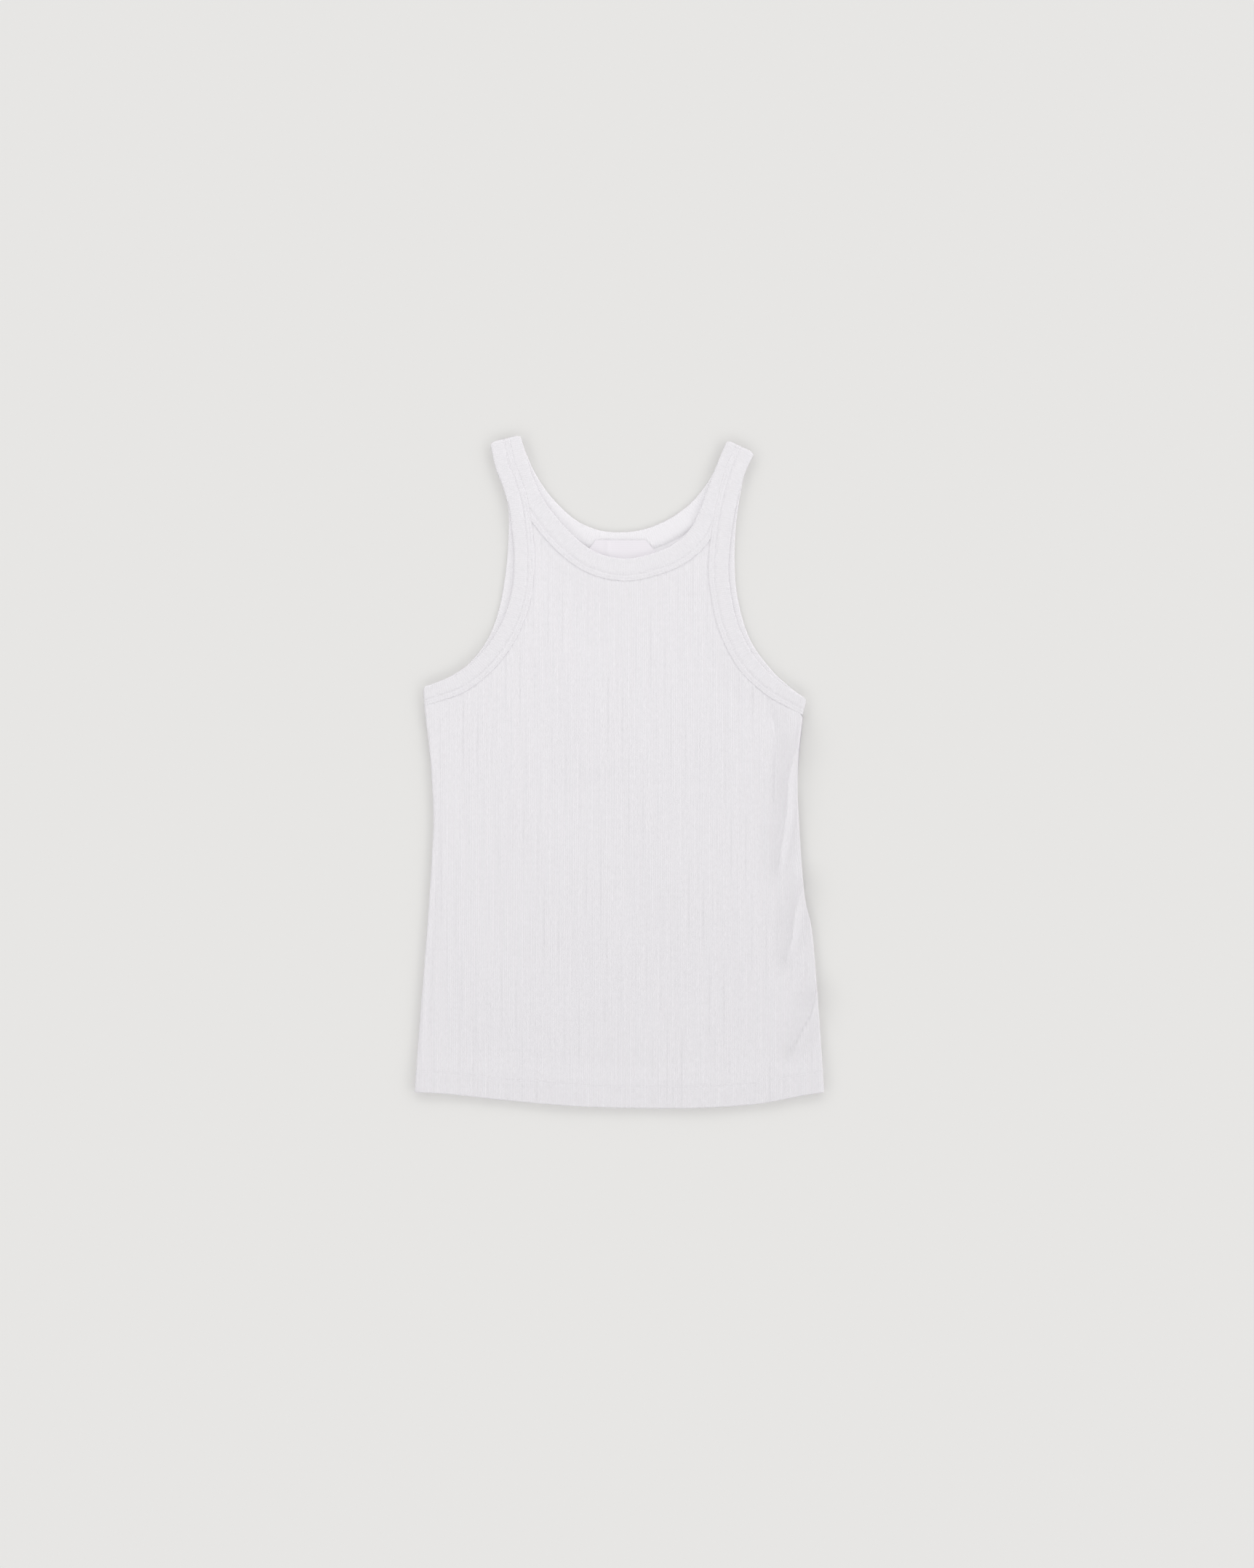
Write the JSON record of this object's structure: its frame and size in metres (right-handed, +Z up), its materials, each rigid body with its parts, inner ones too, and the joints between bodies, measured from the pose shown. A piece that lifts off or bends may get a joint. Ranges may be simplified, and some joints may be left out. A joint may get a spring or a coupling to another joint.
{
  "type": "ribbed tank top",
  "caption": "Sleeveless ribbed tank top laid flat face up, with bound scoop neck and armholes, turned-up hem and a blank neck label.",
  "frame": {"origin": "middle of the laid garment's bounding box, on the surface it lies on", "axes": "+Y from the hem to the shoulders, +Z up out of the garment's front, +X to the right as seen from above"},
  "size_m": [0.364, 0.5982, 0.0064],
  "materials": {
    "rib_knit": "matte white cotton rib knit",
    "rib_binding": "matte white cotton rib binding",
    "label_tape": "smooth woven tape, blank"
  },
  "bodies": {
    "root": {"front_panel": "rib_knit", "back_panel": "rib_knit", "neck_binding": "rib_binding", "armhole_binding_left": "rib_binding", "armhole_binding_right": "rib_binding", "neck_label": "label_tape"}
  },
  "joints": []
}
